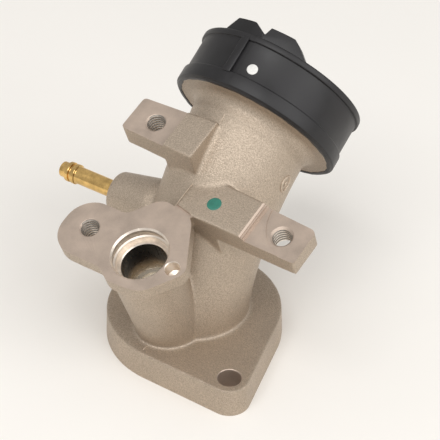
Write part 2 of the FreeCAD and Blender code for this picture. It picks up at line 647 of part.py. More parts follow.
def cut_casting(body):
    """Intake port, injector bore, screw holes, locating hole, bolt holes, drilling and O-ring groove."""
    port = new_sketch(body, "PortOutline", "XY_Plane")
    add_circle(port, "0", "0", "port_rad")
    extrude(body, "Pocket", "Port", port, "Sizes.tube_rise", True)
    spine = bend_spine(body, "PortLine")
    pipe_feature(body, "SubtractivePipe", "PortBend", "port_rad", "bore_mid_rad", "bore_top_rad", spine)
    mouth = joint_sketch(body, "PortMouthSection")
    add_outline(mouth, (
        ("0", "disc_high"),
        ("bore_top_rad", "disc_high"),
        ("bore_top_rad", "0"),
        ("0", "0"),
    ))
    turn(body, "Groove", "PortMouth", mouth)
    cut = die_sketch(body, "LowerLugCutOutline", "Sizes.low_face_height")
    add_circle(cut, "low_cut_x", "low_cut_up", "low_cut_rad")
    extrude(body, "Pocket", "LowerLugCut", cut, "Sizes.low_cut_deep")
    drill(body, "InjectorBore", "", "injector_y", "injector_z", (
        ("injector_chamfer_rad", "0"),
        ("injector_mouth_rad", "-injector_mouth_chamfer"),
        ("injector_mouth_rad", "-injector_mouth_len"),
        ("injector_bore_rad", "-injector_mouth_len"),
        ("injector_bore_rad", "-injector_bore_len"),
        ("injector_seat_rad", "-injector_cone_end"),
        ("injector_seat_rad", "-injector_tip_len"),
        ("0", "-injector_tip_len"),
    ))
    for name, place, length, sink in (
        ("InjectorScrewHole", "screw", "screw_boss_len", "tap_sink_rad"),
        ("UpperScrewHole", "high", "high_thick", "tap_sink_rad"),
        ("LowerScrewHole", "low", "low_thick", "low_sink_rad"),
    ):
        across = "screw_x" if place == "screw" else place + "_hole_x"
        drill(body, name, across, place + "_hole_y", place + "_hole_z", (
            (sink, "0"),
            ("tap_rad", "-" + place + "_sink_len"),
            ("tap_rad", "-" + length),
            ("0", "-" + length),
        ))
    drill(body, "LocatingHole", "dowel_x", "dowel_hole_y", "dowel_hole_z", (
        ("dowel_rad", "0"),
        ("dowel_rad", "-dowel_len"),
        ("0", "-dowel_tip"),
    ))
    bolts = new_sketch(body, "BoltHolesOutline", "XY_Plane")
    add_circle(bolts, "ear_x", "ear_y", "bolt_hole_rad")
    add_circle(bolts, "-ear_x", "-ear_y", "bolt_hole_rad")
    extrude(body, "Pocket", "BoltHoles", bolts, "Sizes.base_thick", True)
    seat = nipple_sketch(body, "NippleSeatSection")
    add_outline(seat, (
        ("0", "0"),
        ("nipple_stem_rad", "0"),
        ("nipple_stem_rad", "-nipple_seat_len"),
        ("nipple_bore_rad", "-nipple_seat_len"),
        ("nipple_bore_rad", "-nipple_drill_len"),
        ("0", "-nipple_drill_len"),
    ))
    turn(body, "Groove", "NippleSeat", seat)
    groove = new_sketch(body, "RingGrooveOutline", "XY_Plane")
    add_circle(groove, "0", "0", "groove_inner_rad")
    add_circle(groove, "0", "0", "groove_outer_rad")
    extrude(body, "Pocket", "RingGroove", groove, "Sizes.groove_deep", True)


def make_casting():
    body = new_body("pipe_casting")
    add_base_flange(body)
    add_tube(body)
    add_injector_boss(body)
    add_lugs(body)
    add_nipple_boss(body)
    cut_casting(body)
    return body


def make_joint():
    """Rubber joint moulded on the round flange: two lips, band seat, stop, rib and two tabs."""
    body = new_body("throttle_joint")
    collar = joint_sketch(body, "TabRingSection")
    add_outline(collar, (
        ("tab_inner_rad", "tab_root"),
        ("tab_rad", "tab_root"),
        ("tab_rad", "tab_top"),
        ("tab_inner_rad", "tab_top"),
    ))
    turn(body, "Revolution", "TabRing", collar)
    sides = joint_sketch(body, "TabSides")
    add_outline(sides, (
        ("-tab_clear", "joint_top"),
        ("tab_left_foot", "joint_top"),
        ("tab_left_top", "tab_top"),
        ("-tab_clear", "tab_top"),
    ))
    add_outline(sides, (
        ("notch_left_top", "tab_top"),
        ("notch_mid", "tab_notch"),
        ("notch_right_top", "tab_top"),
    ))
    add_outline(sides, (
        ("tab_right_top", "tab_top"),
        ("tab_shoulder_x", "tab_shoulder_top"),
        ("tab_right_foot", "joint_top"),
        ("tab_clear", "joint_top"),
        ("tab_clear", "tab_top"),
    ))
    extrude(body, "Pocket", "TabSidesCut", sides, "Sizes.tab_clear", True)
    under = joint_sketch(body, "TabUnderside")
    add_outline(under, (
        ("-tab_clear", "joint_top"),
        ("tab_clear", "joint_top"),
        ("tab_clear", "tab_top"),
        ("-tab_clear", "tab_top"),
    ))
    extrude(body, "Pocket", "TabUndersideCut", under, "Sizes.tab_clear")
    ring = joint_sketch(body, "JointSection")
    add_outline(ring, (
        ("disc_rad", "-joint_low"),
        ("joint_lip_rad", "-joint_low"),
        ("joint_lip_rad", "joint_lip_top"),
        ("joint_band_rad", "joint_lip_top"),
        ("joint_band_rad", "joint_band_top"),
        ("joint_rim_rad", "joint_band_top"),
        ("joint_rim_rad", "joint_top"),
        ("mouth_chamfer_rad", "joint_top"),
        ("joint_mouth_rad", "mouth_chamfer_low"),
        ("joint_mouth_rad", "joint_stop_high"),
        ("stop_bore_rad", "joint_stop_high"),
        ("stop_bore_rad", "disc_high"),
        ("disc_rad", "disc_high"),
    ))
    turn(body, "Revolution", "JointRing", ring)
    lips = ring_edges(body, joint_axis(), (
        ("joint_lip_rad", "joint_lip_rad", "-joint_low"),
        ("joint_lip_rad", "joint_lip_rad", "joint_lip_top"),
        ("joint_rim_rad", "joint_rim_rad", "joint_band_top"),
        ("joint_rim_rad", "joint_rim_rad", "joint_top"),
    ))
    dress(body, "Chamfer", "LipEdges", lips, "joint_edge")
    rib = joint_sketch(body, "RibOutline", "Sizes.rib_root_rad")
    add_outline(rib, (
        ("rib_left", "rib_low"),
        ("rib_right", "rib_low"),
        ("rib_right", "rib_high"),
        ("rib_left", "rib_high"),
    ))
    extrude(body, "Pad", "BandRib", rib, "Sizes.rib_top_rad - Sizes.rib_root_rad")
    return body


def make_nipple():
    """Pressed-in hose nipple with a collar and two beads."""
    body = new_body("vacuum_nipple")
    section = nipple_sketch(body, "NippleSection")
    add_outline(section, (
        ("nipple_bore_rad", "-nipple_seat_len"),
        ("nipple_stem_rad", "-nipple_seat_len"),
        ("nipple_stem_rad", "0"),
        ("nipple_collar_rad", "0"),
        ("nipple_collar_rad", "nipple_collar_len"),
        ("nipple_stem_rad", "nipple_collar_len"),
        ("nipple_stem_rad", "barb_two_low"),
        ("nipple_barb_rad", "barb_two_low"),
        ("nipple_barb_rad", "barb_two_high"),
        ("nipple_tip_rad", "barb_two_high"),
        ("nipple_tip_rad", "barb_one_low"),
        ("nipple_barb_rad", "barb_one_low"),
        ("nipple_barb_rad", "barb_one_high"),
        ("nipple_tip_rad", "barb_one_high"),
        ("nipple_tip_rad", "nipple_len"),
        ("nipple_bore_rad", "nipple_len"),
    ))
    turn(body, "Revolution", "NippleTurned", section)
    beads = ring_edges(body, nipple_axis(), (
        ("nipple_barb_rad", "nipple_barb_rad", "barb_two_low"),
        ("nipple_barb_rad", "nipple_barb_rad", "barb_two_high"),
        ("nipple_barb_rad", "nipple_barb_rad", "barb_one_low"),
        ("nipple_barb_rad", "nipple_barb_rad", "barb_one_high"),
        ("nipple_tip_rad", "nipple_tip_rad", "nipple_len"),
    ))
    dress(body, "Chamfer", "BeadEdges", beads, "barb_edge")
    return body


def make_ring():
    """O-ring in the groove of the base, drawn pressed flush with the base face."""
    body = new_body("base_o_ring")
    section = new_sketch(body, "RingSection", "XZ_Plane")
    add_circle(section, "ring_mid_rad", "ring_wire_rad", "ring_wire_rad")
    turn(body, "Revolution", "Ring", section)
    return body


def check_features():
    """Stop on a feature that failed, or a cut or pad that changed nothing."""
    for item in doc.Objects:
        for word in ("Invalid", "Error"):
            if word in item.State:
                raise RuntimeError(f"{item.Name} is {item.State}")
        grows = item.TypeId in ("PartDesign::Pad", "PartDesign::Revolution", "PartDesign::AdditivePipe")
        cuts = item.TypeId in ("PartDesign::Pocket", "PartDesign::Groove", "PartDesign::SubtractivePipe")
        if not (grows or cuts) or item.BaseFeature is None:
            continue
        change = item.Shape.Volume - item.BaseFeature.Shape.Volume
        if (cuts and change > -0.5) or (grows and change < 0.5):
            raise RuntimeError(f"{item.Name} changed the volume by {change:.2f}")


bodies = [make_casting(), make_joint(), make_nipple(), make_ring()]
doc.recompute()
check_features()
for body in bodies:
    shape = body.Shape
    if shape.isNull() or not shape.isValid() or len(shape.Solids) != 1:
        raise RuntimeError(f"{body.Label} is not one valid solid")
    shape.exportStep(f"parts/{body.Label}.step")
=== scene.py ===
import math

import bpy
import numpy as np
from bpy.props import FloatProperty, FloatVectorProperty, PointerProperty
from mathutils import Matrix, Vector


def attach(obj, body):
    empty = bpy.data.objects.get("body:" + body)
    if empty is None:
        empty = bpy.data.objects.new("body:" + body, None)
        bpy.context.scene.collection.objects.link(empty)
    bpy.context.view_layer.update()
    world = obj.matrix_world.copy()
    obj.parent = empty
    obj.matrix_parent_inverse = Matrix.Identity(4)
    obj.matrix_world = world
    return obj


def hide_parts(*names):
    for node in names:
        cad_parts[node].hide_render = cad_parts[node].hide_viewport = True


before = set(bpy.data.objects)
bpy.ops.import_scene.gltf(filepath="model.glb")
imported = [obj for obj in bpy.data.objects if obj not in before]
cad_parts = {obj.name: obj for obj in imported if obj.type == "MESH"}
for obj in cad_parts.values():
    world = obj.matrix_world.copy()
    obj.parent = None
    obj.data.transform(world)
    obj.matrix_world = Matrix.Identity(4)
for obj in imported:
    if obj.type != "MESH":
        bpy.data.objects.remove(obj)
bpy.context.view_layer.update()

bl_info = {
    "name": "Intake pipe",
    "version": (1, 0, 0),
    "blender": (4, 5, 0),
    "location": "View3D > Sidebar > Intake pipe",
    "description": "Builds a cast intake pipe with a rubber throttle joint and a hose nipple",
    "category": "Add Mesh",
}

UP = Vector((0, 0, 1))
ACROSS = Vector((1, 0, 0))

# Shapes are written in millimetres and made in metres. Sections to be turned are (radius, height) points.
MM = 0.001

# Tube: outer radius at the base, halfway round the bend and at the round flange.
TUBE_RADII = (15.6, 17.3, 18.2)

# Base flange: radius about the port and about the bolts, and the bolts' distance and turn from the port.
BASE_MID = 26.5
BASE_EAR = 6.1
BASE_DRAFT = 0.45
BOLT_REACH = 33.0
BOLT_TURN = math.radians(-35.1)
BOLT_HOLE_RADIUS = 3.4
BOLT_MOUTH_RADIUS = 3.7
RING_GROOVE = ((15.75, -1.0), (18.65, -1.0), (18.65, 2.4), (15.75, 2.4))
RING_RADIUS = 17.2
RING_CORD = 1.2

# Round flange along the bend's end: its underside, its top and the fillet under it.
FLANGE_UNDER = -0.65
FLANGE_TOP = 3.4
FLANGE_FILLET = 3.2

# Stock left by casting on the faces that are milled, and the height to which the cutters clear it.
STOCK = 0.6
CUT_TOP = 6.0

# Injector flange seen along the die axis, from the centre of its bore: across, up, rounding.
INJECTOR_CORNERS = (
    (-26.7, -9.6, 8.1),
    (-7.2, -8.8, 4.0),
    (-3.4, -11.6, 5.6),
    (7.5, -10.4, 8.0),
    (15.5, 0.5, 4.0),
    (6.5, 16.1, 5.0),
    (-4.8, 18.1, 5.0),
    (-11.6, 9.0, 3.3),
    (-26.7, 8.7, 8.1),
)
INJECTOR_UP = -7.42
INJECTOR_THICK = 4.6
INJECTOR_BOSS = ((0, -42.6), (9.7, -42.6), (10.2, STOCK), (0, STOCK))
SCREW_PLACE = (-18.2, 0.3)
SCREW_BOSS_RADIUS = 5.8
SCREW_DEPTH = 9.0
DOWEL_PLACE = (11.1, 0.24)

# Injector bore with its passage, its lower seat, its mouth with a seal's groove, and the locating hole.
BORE_FOOT = -20.8
BORE_HIGH = -3.0
BORE = ((0, -40.0), (3.6, -40.0), (3.6, BORE_FOOT), (6.7, -17.6), (6.7, BORE_HIGH), (0, BORE_HIGH))
BORE_SEAT = ((0, -19.0), (6.0, -19.0), (6.0, -17.9), (6.75, -17.4), (6.75, -16.9), (0, -16.9))
BORE_MOUTH = (
    (0, -5.3), (6.7, -5.3), (7.0, -5.0), (8.0, -5.0), (8.0, -3.6), (8.45, -3.3),
    (8.45, -1.7), (8.0, -1.4), (8.0, -0.5), (8.5, 0.0), (9.5, 1.0), (0, 1.0),
)
DOWEL_HOLE = ((0, -5.2), (2.1, -4.0), (2.1, -0.2), (2.4, 0.1), (2.4, 1.0), (0, 1.0))

# Both lugs seen along the die axis: across, up, rounding.
UPPER_LUG = ((-25.2, 21.2, 1.0), (0, 20.6, 0), (0, 34.3, 0), (-25.2, 32.7, 1.0))
UPPER_BLOCK = ((-11.2, 20.87, 0), (0, 20.6, 0), (0, 34.3, 0), (-11.2, 33.59, 0))
LOWER_LUG = ((0, 9.1, 0), (39.3, 9.8, 0.8), (39.3, 21.5, 1.6), (0, 22.9, 0))
LOWER_PAD = ((0, 9.1, 0), (23.4, 9.52, 0), (23.4, 22.07, 0), (0, 22.9, 0))
LOWER_BLOCK = ((0, 9.1, 0), (13.0, 9.33, 0), (13.0, 22.44, 0), (0, 22.9, 0))

# Their depths under the milled faces, the cast skins above, the steps between both, and the holes.
UPPER_THICK = 7.0
UPPER_DEPTH = 20.0
UPPER_SKIN = 0.7
UPPER_STEP = -9.8
UPPER_HOLE = (-16.7, 26.7)
LOWER_THICK = 5.8
LOWER_DEPTH = 14.5
LOWER_SKIN = 1.5
LOWER_STEP = (22.2, 23.3)
LOWER_HOLE = (31.7, 15.8)

# Shallow round cut at the lower lug's corner.
SPOT_PLACE = (38.5, 23.0)
SPOT_RADIUS = 14.0
SPOT_DEPTH = 0.25

# Tapped M6 holes: radii and pitch of the thread's cutter, drilled radius, the countersinks' slope and radii.
THREAD_CORE = 2.4
THREAD_OUTER = 3.05
THREAD_PITCH = 1.0
THREAD_CREST = 2.62
SINK_RUN = 2.2
SINK_DROP = 1.4
SCREW_SINK = 3.15
UPPER_SINK = 3.2
LOWER_SINK = 3.75

# Nipple: middle of its boss's face, its turn from the side, and its radii and lengths.
NIPPLE_FACE = (-34.0, 6.5, 32.0)
NIPPLE_TURN = math.radians(3.0)
NIPPLE_BOSS = ((0, -20.0), (8.9, -20.0), (8.9, -14.0), (6.45, -0.6), (5.85, 0), (0, 0))
NIPPLE_BORE = 1.5
NIPPLE_DEPTH = 9.0
NIPPLE_COLLAR = 3.3
NIPPLE_BEAD = 3.15
NIPPLE_WAIST = 2.5

# Rubber joint: radii of its ledge, lips and band seat, and heights along the bend's end.
JOINT_LEDGE = 18.0
JOINT_LIP = 26.15
JOINT_TOP_LIP = 26.2
JOINT_SEAT = 25.5
JOINT_LIP_LOW = -0.35
JOINT_RIM_TOP = 3.5
JOINT_SEAT_LOW = 3.9
JOINT_LEDGE_TOP = 5.4
JOINT_BEAD = 10.4
JOINT_SEAT_HIGH = 14.2
JOINT_TOP = 16.1
JOINT_CHAMFER = 0.9

# Its two index tabs from the side and its rib from above, with their heights and radii.
TABS = (
    ((-12.6, 15.2), (-12.1, 16.0), (-9.0, 20.4), (-2.5, 20.4), (1.7, 17.9), (1.7, 15.2)),
    (
        (1.6, 15.2), (1.6, 17.9), (2.0, 17.9), (2.8, 20.3),
        (10.0, 20.4), (11.5, 19.4), (15.0, 16.0), (15.6, 15.2),
    ),
)
TAB_RADII = (25.2, 22.0)
RIB = ((-3.4, -26.35), (-0.9, -26.5), (-0.9, -24.9), (-3.4, -24.9))
RIB_HEIGHTS = (3.3, 14.7)
RUBBER_EDGE = 0.3

# The joint's seam: where it is, how far the outside stands proud behind it, and where that has faded.
SEAM_TURN = math.radians(-88.0)
SEAM_FADE = math.radians(32.0)
SEAM_RISE = 0.32
SEAM_GAP = 0.0004
FOOT_WAVE = 0.11

# Paint dots: the green one on the lower pad, the white one on the band seat by turn, reach and height.
GREEN_PLACE = (9.6, 15.4)
GREEN_RADIUS = 2.1
WHITE_TURN = math.radians(-80.0)
WHITE_REACH = 25.72
WHITE_HEIGHT = 6.8
WHITE_RADIUS = 1.6

# Raised oval on the tube: share of the bend, turn about the tube, half its length and half its width.
OVAL_SHARE = 0.809
OVAL_TURN = math.radians(-1.2)
OVAL_LONG = 2.3
OVAL_WIDE = 1.7

# Stage, in metres: room light, lamps (name, place, size, power) and the point that they face.
ROOM_COLOUR = (1.0, 0.985, 0.965, 1.0)
ROOM_STRENGTH = 0.57
LAMPS = (
    ("softbox_right", (1.2, -0.05, 0.85), 1.2, 8.5),
    ("softbox_above", (0.1, -0.72, 1.2), 0.9, 8.0),
)
LAMP_TARGET = Vector((0, 0.01, 0.035))

# Camera, in metres, with its focal length in pixels of a picture 440 wide.
CAMERA_AZIMUTH = math.radians(36.25)
CAMERA_ELEVATION = math.radians(38.0)
CAMERA_ROLL = math.radians(0.52)
CAMERA_TARGET = Vector((0.0004, 0.01207, 0.03369))
CAMERA_DISTANCE = 0.44034
FOCAL_PIXELS = 1501.0
PICTURE_PIXELS = 440.0
SENSOR_WIDTH = 36.0


class IntakePipeSizes(bpy.types.PropertyGroup):
    """Sizes that a user would change, in metres and radians"""

    bend_radius: FloatProperty(
        name="Bend radius", description="Radius of the tube's centre line", default=0.065, unit="LENGTH"
    )
    bend_angle: FloatProperty(
        name="Bend angle", description="Turn of the tube", default=math.radians(56.6), subtype="ANGLE"
    )
    die_tilt: FloatProperty(
        name="Die tilt",
        description="Lean of the injector boss and the lugs",
        default=math.radians(20.3),
        subtype="ANGLE",
    )
    tube_rise: FloatProperty(
        name="Straight foot", description="Straight stretch under the bend", default=0.0036, unit="LENGTH"
    )
    tube_wall: FloatProperty(
        name="Wall", description="Thickness of the tube's wall", default=0.0029, unit="LENGTH"
    )
    base_thickness: FloatProperty(
        name="Base thickness", description="Thickness of the base flange", default=0.0091, unit="LENGTH"
    )
    disc_radius: FloatProperty(
        name="Round flange", description="Radius of the round flange", default=0.025, unit="LENGTH"
    )
    injector_face: FloatProperty(
        name="Injector face", description="Height along the die axis", default=0.0503, unit="LENGTH"
    )
    upper_face: FloatProperty(
        name="Upper lug face", description="Height along the die axis", default=0.0598, unit="LENGTH"
    )
    lower_face: FloatProperty(
        name="Lower lug face", description="Height along the die axis", default=0.0495, unit="LENGTH"
    )
    voxel: FloatProperty(
        name="Casting grid", description="Cell of the casting's remesh", default=0.00032, unit="LENGTH"
    )
    joint_mouth: FloatProperty(
        name="Joint mouth", description="Bore radius of the rubber joint", default=0.0213, unit="LENGTH"
    )
    nipple_stem: FloatProperty(
        name="Nipple", description="Outer radius of the nipple", default=0.0027, unit="LENGTH"
    )


class IntakePipeColours(bpy.types.PropertyGroup):
    """Colours of the materials"""

    cast: FloatVectorProperty(
        name="Casting", description="As-cast metal", default=(0.485, 0.40, 0.315), size=3, subtype="COLOR"
    )
    machined: FloatVectorProperty(
        name="Machined", description="Milled faces", default=(0.53, 0.43, 0.355), size=3, subtype="COLOR"
    )
    fresh_cut: FloatVectorProperty(
        name="Fresh cut", description="Threads", default=(0.72, 0.645, 0.565), size=3, subtype="COLOR"
    )
    rubber: FloatVectorProperty(
        name="Rubber", description="Moulded joint", default=(0.0075, 0.0068, 0.0078), size=3, subtype="COLOR"
    )
    brass: FloatVectorProperty(
        name="Brass", description="Hose nipple", default=(0.80, 0.53, 0.2), size=3, subtype="COLOR"
    )
    green_paint: FloatVectorProperty(
        name="Green dot", description="Inspection mark", default=(0.03, 0.19, 0.14), size=3, subtype="COLOR"
    )
    white_paint: FloatVectorProperty(
        name="White dot", description="Inspection mark", default=(0.80, 0.79, 0.76), size=3, subtype="COLOR"
    )
    floor: FloatVectorProperty(
        name="Floor", description="Pale table", default=(0.93, 0.905, 0.865), size=3, subtype="COLOR"
    )


def sizes():
    return bpy.context.scene.intake_pipe_sizes


def colours():
    return bpy.context.scene.intake_pipe_colours


def mm(length):
    """Length of the size group in millimetres."""
    return length / MM


# Places


def ray(turn):
    """Flat unit vector at a turn from +X."""
    return Vector((math.cos(turn), math.sin(turn)))


def placed(point, axis_x, axis_z):
    """Local frame from its origin and its x and z axes."""
    axis_y = axis_z.cross(axis_x)
    matrix = Matrix((axis_x, axis_y, axis_z)).transposed().to_4x4()
    matrix.translation = Vector(point)
    return matrix


def beside(place, across, up):
    """Frame moved within its own face."""
    return place @ Matrix.Translation((across, up, 0))


def die_place(height=0.0, across=0.0, up=0.0):
    """Frame square to the die axis at a height along it: x across, y up the face, z along the axis."""
    tilt = sizes().die_tilt
    axis = Vector((0, -math.sin(tilt), math.cos(tilt)))
    face_up = axis.cross(ACROSS)
    return placed(axis * height + ACROSS * across + face_up * up, ACROSS, axis)


def injector_place():
    """Frame in the injector flange's face, its origin in the bore."""
    return die_place(mm(sizes().injector_face), 0.0, INJECTOR_UP)


def bend_point(turn):
    """Centre line of the tube at a turn of the bend, and its direction there."""
    s = sizes()
    rad = mm(s.bend_radius)
    place = Vector((0, rad * (1 - math.cos(turn)), mm(s.tube_rise) + rad * math.sin(turn)))
    return place, Vector((0, math.sin(turn), math.cos(turn)))


def blend(values, share):
    """Value at a share of the way through three values, by the parabola through them."""
    start, middle, end = values
    rest = 1 - share
    return start * rest * (1 - 2 * share) + middle * 4 * share * rest + end * share * (2 * share - 1)


def tube_point(share, turn, lift=0.0):
    """Point on the tube's outside by share of the bend and turn about it from +X, lifted off it."""
    place, along = bend_point(sizes().bend_angle * share)
    rad = blend(TUBE_RADII, share) + lift
    return place + ACROSS * (rad * math.cos(turn)) + along.cross(ACROSS) * (rad * math.sin(turn))


def joint_place():
    """Frame of the round flange and the rubber joint: z along the bend's end, -y towards the top."""
    centre, along = bend_point(sizes().bend_angle)
    return placed(centre, ACROSS, along)


def nipple_place():
    """Frame of the nipple: z along it, its origin in the boss's face."""
    return placed(NIPPLE_FACE, UP, -ray(NIPPLE_TURN).to_3d())


# Outlines


def spokes(steps):
    """Cosine and sine of turns that divide a circle evenly."""
    turns = [2 * math.pi * j / steps for j in range(steps)]
    return [(math.cos(turn), math.sin(turn)) for turn in turns]


def arc(centre, rad, start, sweep, steps):
    """Points of an arc about a centre, both ends included."""
    return [centre + ray(start + sweep * j / steps) * rad for j in range(steps + 1)]


def rounded(corners, step=0.25):
    """Closed outline whose corners (x, y, rounding) are rounded by arcs of short steps."""
    points = [Vector(corner[:2]) for corner in corners]
    made = []
    for k, here in enumerate(points):
        rad = corners[k][2]
        if rad <= 0:
            made.append(here)
            continue
        back = (points[k - 1] - here).normalized()
        ahead = (points[(k + 1) % len(points)] - here).normalized()
        half = back.angle(ahead) / 2
        inner = here + (back + ahead).normalized() * (rad / math.sin(half))
        first = here + back * (rad / math.tan(half)) - inner
        last = here + ahead * (rad / math.tan(half)) - inner
        sweep = -first.angle_signed(last)
        count = max(4, int(abs(sweep) * rad / step))
        made.extend(inner + Matrix.Rotation(sweep * j / count, 2) @ first for j in range(count + 1))
    return made


def divided(points, step):
    """Closed outline with its long sides divided."""
    made = []
    for here, ahead in zip(points, points[1:] + points[:1]):
        count = max(1, int((ahead - here).length / step))
        made.extend(here.lerp(ahead, j / count) for j in range(count))
    return made


def outset(points, gap):
    """Closed outline moved outwards by gap; points run anticlockwise."""
    made = []
    for k, here in enumerate(points):
        along = points[(k + 1) % len(points)] - points[k - 1]
        made.append(here + Vector((along.y, -along.x)).normalized() * gap)
    return made


# Shapes: lists of points and of faces


def ringed(verts, steps, closed=False):
    """Form through rings of as many points each, capped at both ends or closed on itself."""
    count = len(verts)
    faces = [] if closed else [tuple(reversed(range(steps))), tuple(range(count - steps, count))]
    for first in range(0, count if closed else count - steps, steps):
        for j in range(steps):
            a = first + j
            b = first + (j + 1) % steps
            faces.append((a, b, (b + steps) % count, (a + steps) % count))
    return verts, faces


def prism(outline, low, high, draft=0.0):
    """Closed prism of an outline between two heights, its top drawn in by the draft."""
    top = outset(outline, -draft) if draft else outline
    return ringed([(x, y, low) for x, y in outline] + [(x, y, high) for x, y in top], len(outline))


def block(low, high):
    """Box between two opposite corners."""
    (x0, y0, z0), (x1, y1, z1) = low, high
    return prism(((x0, y0), (x1, y0), (x1, y1), (x0, y1)), z0, z1)


def lathe(profile, steps=128, closed=False):
    """Turned form of a section that starts and ends on the axis, or that closes into a ring."""
    verts = []
    rings = []
    for rad, height in profile:
        count = steps if rad else 1
        rings.append(range(len(verts), len(verts) + count))
        verts += [(rad * c, rad * s, height) for c, s in spokes(count)]
    if closed:
        rings.append(rings[0])
    faces = []
    for low, high in zip(rings, rings[1:]):
        for j in range(steps):
            after = (j + 1) % steps
            if len(low) == 1:
                faces.append((low[0], high[after], high[j]))
            elif len(high) == 1:
                faces.append((low[j], low[after], high[0]))
            else:
                faces.append((low[j], low[after], high[after], high[j]))
    return verts, faces


def rod(rad, low, high, steps=128):
    """Plain round rod between two heights."""
    return lathe(((0, low), (rad, low), (rad, high), (0, high)), steps)


def pipe(radii, below, beyond, steps=160, stations=72):
    """Round rod along the bend, its radius running through three values, longer at both ends."""
    first, along = bend_point(0.0)
    rows = [(first - along * below, along, radii[0])]
    for k in range(stations + 1):
        share = k / stations
        place, along = bend_point(sizes().bend_angle * share)
        rows.append((place, along, blend(radii, share)))
    rows.append((place + along * beyond, along, radii[-1]))
    verts = []
    for place, along, rad in rows:
        side = along.cross(ACROSS)
        verts += [place + ACROSS * (rad * c) + side * (rad * s) for c, s in spokes(steps)]
    return ringed(verts, steps)


def screw_rod(low, high, steps=72, rows_per_turn=14):
    """Threaded rod as a cutter: its radius runs up and down along a helix, flat at its crest."""
    flat = 1.12
    rows = int((high - low) / THREAD_PITCH * rows_per_turn) + 1
    verts = []
    for row in range(rows + 1):
        height = low + (high - low) * row / rows
        for j, (c, s) in enumerate(spokes(steps)):
            phase = (height / THREAD_PITCH - j / steps) % 1.0
            ramp = 1 - abs(2 * phase - 1)
            rad = THREAD_CORE + (THREAD_OUTER - THREAD_CORE) * min(1.0, ramp * flat)
            verts.append((rad * c, rad * s, height))
    return ringed(verts, steps)


def wire(points, rad, closed=False, steps=10):
    """Thin round line through points; an open one tapers at its ends."""
    tip_share = 0.25
    tip_growth = 0.3
    count = len(points)
    verts = []
    for k, here in enumerate(points):
        ahead = points[(k + 1) % count] if closed or k + 1 < count else here
        back = points[k - 1] if closed or k else here
        along = (ahead - back).normalized()
        side = (side - along * side.dot(along)).normalized() if k else along.orthogonal().normalized()
        other = along.cross(side)
        from_end = min(k, count - 1 - k)
        here_rad = rad if closed else rad * min(1.0, tip_share + from_end * tip_growth)
        verts += [here + side * (here_rad * c) + other * (here_rad * s) for c, s in spokes(steps)]
    return ringed(verts, steps, closed)


def moved(shape, matrix):
    """Shape carried into a local frame."""
    verts, faces = shape
    return [matrix @ Vector(v) for v in verts], faces


def joined(*shapes):
    """Several shapes as one, overlapping as they are."""
    verts = []
    faces = []
    for shape_verts, shape_faces in shapes:
        first = len(verts)
        verts.extend(shape_verts)
        faces.extend(tuple(first + k for k in face) for face in shape_faces)
    return verts, faces


# Objects


def mesh_object(name, shape, material):
    """Object from a shape in millimetres, linked to the scene."""
    verts, faces = shape
    mesh = bpy.data.meshes.new(name)
    mesh.from_pydata([tuple(c * MM for c in v) for v in verts], [], faces)
    mesh.validate()
    mesh.materials.append(material)
    made = bpy.data.objects.new(name, mesh)
    bpy.context.scene.collection.objects.link(made)
    return made


def freeze(target):
    """Put the result of an object's modifiers into its mesh."""
    graph = bpy.context.evaluated_depsgraph_get()
    graph.update()
    mesh = bpy.data.meshes.new_from_object(target.evaluated_get(graph))
    target.modifiers.clear()
    old = target.data
    target.data = mesh
    bpy.data.meshes.remove(old)


def remesh(target, voxel, material):
    """One closed skin of one material round all the overlapping forms of a mesh."""
    change = target.modifiers.new("Skin", "REMESH")
    change.mode = "VOXEL"
    change.voxel_size = voxel
    freeze(target)
    target.data.materials.clear()
    target.data.materials.append(material)


def relax(target, even, fill):
    """Round all edges over the first passes, then fill only the inside corners, as a casting's fillets."""
    even_pull = 0.5
    fill_pull = 0.8
    passes_per_normal = 6
    mesh = target.data
    count = len(mesh.vertices)
    places = np.empty(count * 3)
    mesh.vertices.foreach_get("co", places)
    places = places.reshape(-1, 3)
    ends = np.empty(len(mesh.edges) * 2, dtype=np.int64)
    mesh.edges.foreach_get("vertices", ends)
    a, b = ends.reshape(-1, 2).T
    valence = np.bincount(a, minlength=count) + np.bincount(b, minlength=count)
    normals = np.empty(count * 3)
    for step in range(even + fill):
        pull = np.empty_like(places)
        for c in range(3):
            sums = np.bincount(a, places[b, c], count) + np.bincount(b, places[a, c], count)
            pull[:, c] = sums / valence - places[:, c]
        if step < even:
            places += pull * even_pull
            continue
        if (step - even) % passes_per_normal == 0:
            mesh.vertices.foreach_set("co", places.ravel())
            mesh.update()
            mesh.vertex_normals.foreach_get("vector", normals)
        outward = (pull * normals.reshape(-1, 3)).sum(1)
        rise = np.clip(outward, 0, None) * fill_pull
        places += normals.reshape(-1, 3) * rise[:, None]
    mesh.vertices.foreach_set("co", places.ravel())
    mesh.update()


def combine(target, other, operation):
    """Cut a closed form out of a closed mesh or join it on; its faces keep their material."""
    change = target.modifiers.new("Combine", "BOOLEAN")
    change.operation = operation
    change.solver = "MANIFOLD"
    change.object = other
    change.material_mode = "TRANSFER"
    before = len(target.data.polygons)
    freeze(target)
    if len(target.data.polygons) == before:
        raise RuntimeError(f"{other.name} left {target.name} as it was")
    bpy.data.objects.remove(other)


def bevelled(target, width):
    """Round an object's edges by a width in millimetres."""
    change = target.modifiers.new("Edge", "BEVEL")
    change.width = width * MM
    change.segments = 3
    change.limit_method = "ANGLE"
    change.angle_limit = math.radians(25)
    freeze(target)


def finish_piece(piece, slot, *nodes, sharp_degrees=32.0):
    """Shade a piece smooth between its sharp edges, hang it under the root empty and hide the CAD parts that
    it replaces.
    """
    mesh = piece.data
    mesh.polygons.foreach_set("use_smooth", [True] * len(mesh.polygons))
    mesh.set_sharp_from_angle(angle=math.radians(sharp_degrees))
    mesh.update()
    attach(piece, "root")
    if nodes:
        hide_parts(*nodes)


# Materials


